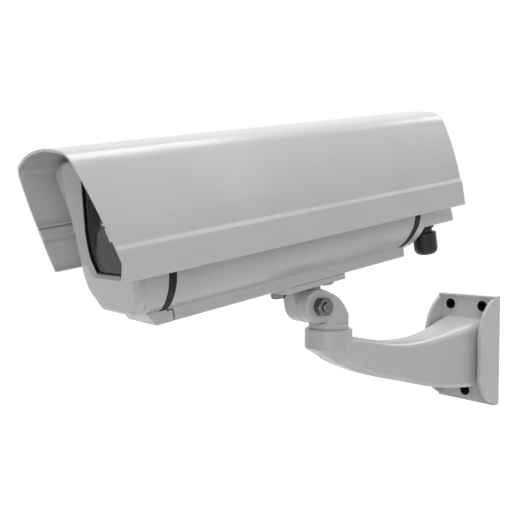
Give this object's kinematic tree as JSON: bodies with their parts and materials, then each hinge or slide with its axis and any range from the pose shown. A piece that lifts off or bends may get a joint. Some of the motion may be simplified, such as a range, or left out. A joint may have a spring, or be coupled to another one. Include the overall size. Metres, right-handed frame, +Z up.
{
  "type": "security camera housing",
  "caption": "Wall mounted camera housing: oval body with a side hinged cover and sunshield, front window, cable glands, and a cast arm that pans and tilts.",
  "frame": {"origin": "centre of the wall plate's back face, where it meets the wall", "axes": "+Y into the wall, +Z up, +X to the right seen from the front of the wall"},
  "size_m": [0.2001, 0.5576, 0.3385],
  "materials": {
    "paint": "satin powder coat",
    "steel": "zinc plated",
    "alloy": "mill",
    "seal": "matt",
    "black_plastic": "satin",
    "glass": "clear",
    "board": "satin",
    "terminal": "satin",
    "brass": "bright"
  },
  "bodies": {
    "bracket": {"wall_bracket": "paint"},
    "swivel": {"swivel_head": "paint", "swivel_bolt": "steel", "swivel_washer": "steel", "tilt_bolt": "steel", "tilt_washers": "steel", "tilt_nut": "steel"},
    "housing": {"adaptor_knuckle": "paint", "adaptor_bolts": "steel", "adaptor_washers": "steel", "rail_nuts": "steel", "lower_body": "paint", "cover_seals": "seal", "hinge_pins": "steel", "closing_screws": "steel", "front_frame": "paint", "front_gasket": "seal", "window_glass": "glass", "window_seal": "seal", "window_retainer": "alloy", "retainer_clips": "steel", "frame_screws": "steel", "rear_gasket": "seal", "rear_cover": "paint", "rear_screws": "steel", "gland_bodies": "black_plastic", "gland_caps": "black_plastic", "gland_seals": "seal", "gland_locknuts": "black_plastic", "heater": "alloy", "board_standoffs": "brass", "circuit_board": "board", "terminal_block": "terminal"},
    "cover": {"upper_cover": "paint", "sunshield": "paint", "shield_spacers": "black_plastic", "shield_screws": "steel"},
    "tray": {"camera_tray": "alloy", "camera_screw": "steel"}
  },
  "joints": [
    {"name": "pan", "type": "hinge", "parent": "bracket", "child": "swivel", "pos_m": [0, -0.2612, 0.045], "axis": [0, 0, 1], "range_deg": [-84.75, 95.25]},
    {"name": "tilt", "type": "hinge", "parent": "swivel", "child": "housing", "pos_m": [-0.00233, -0.28659, 0.0694], "axis": [0.9958, -0.0915, 0], "range_deg": [-25.62, 69.38]},
    {"name": "cover_hinge", "type": "hinge", "parent": "housing", "child": "cover", "pos_m": [-0.07543, -0.32799, 0.14588], "axis": [-0.0899, -0.9787, -0.1843], "range_deg": [0, 75]},
    {"name": "tray_slide", "type": "slide", "parent": "housing", "child": "tray", "axis": [0.0899, 0.9787, 0.1843], "range_m": [-0.028, 0.025]}
  ]
}
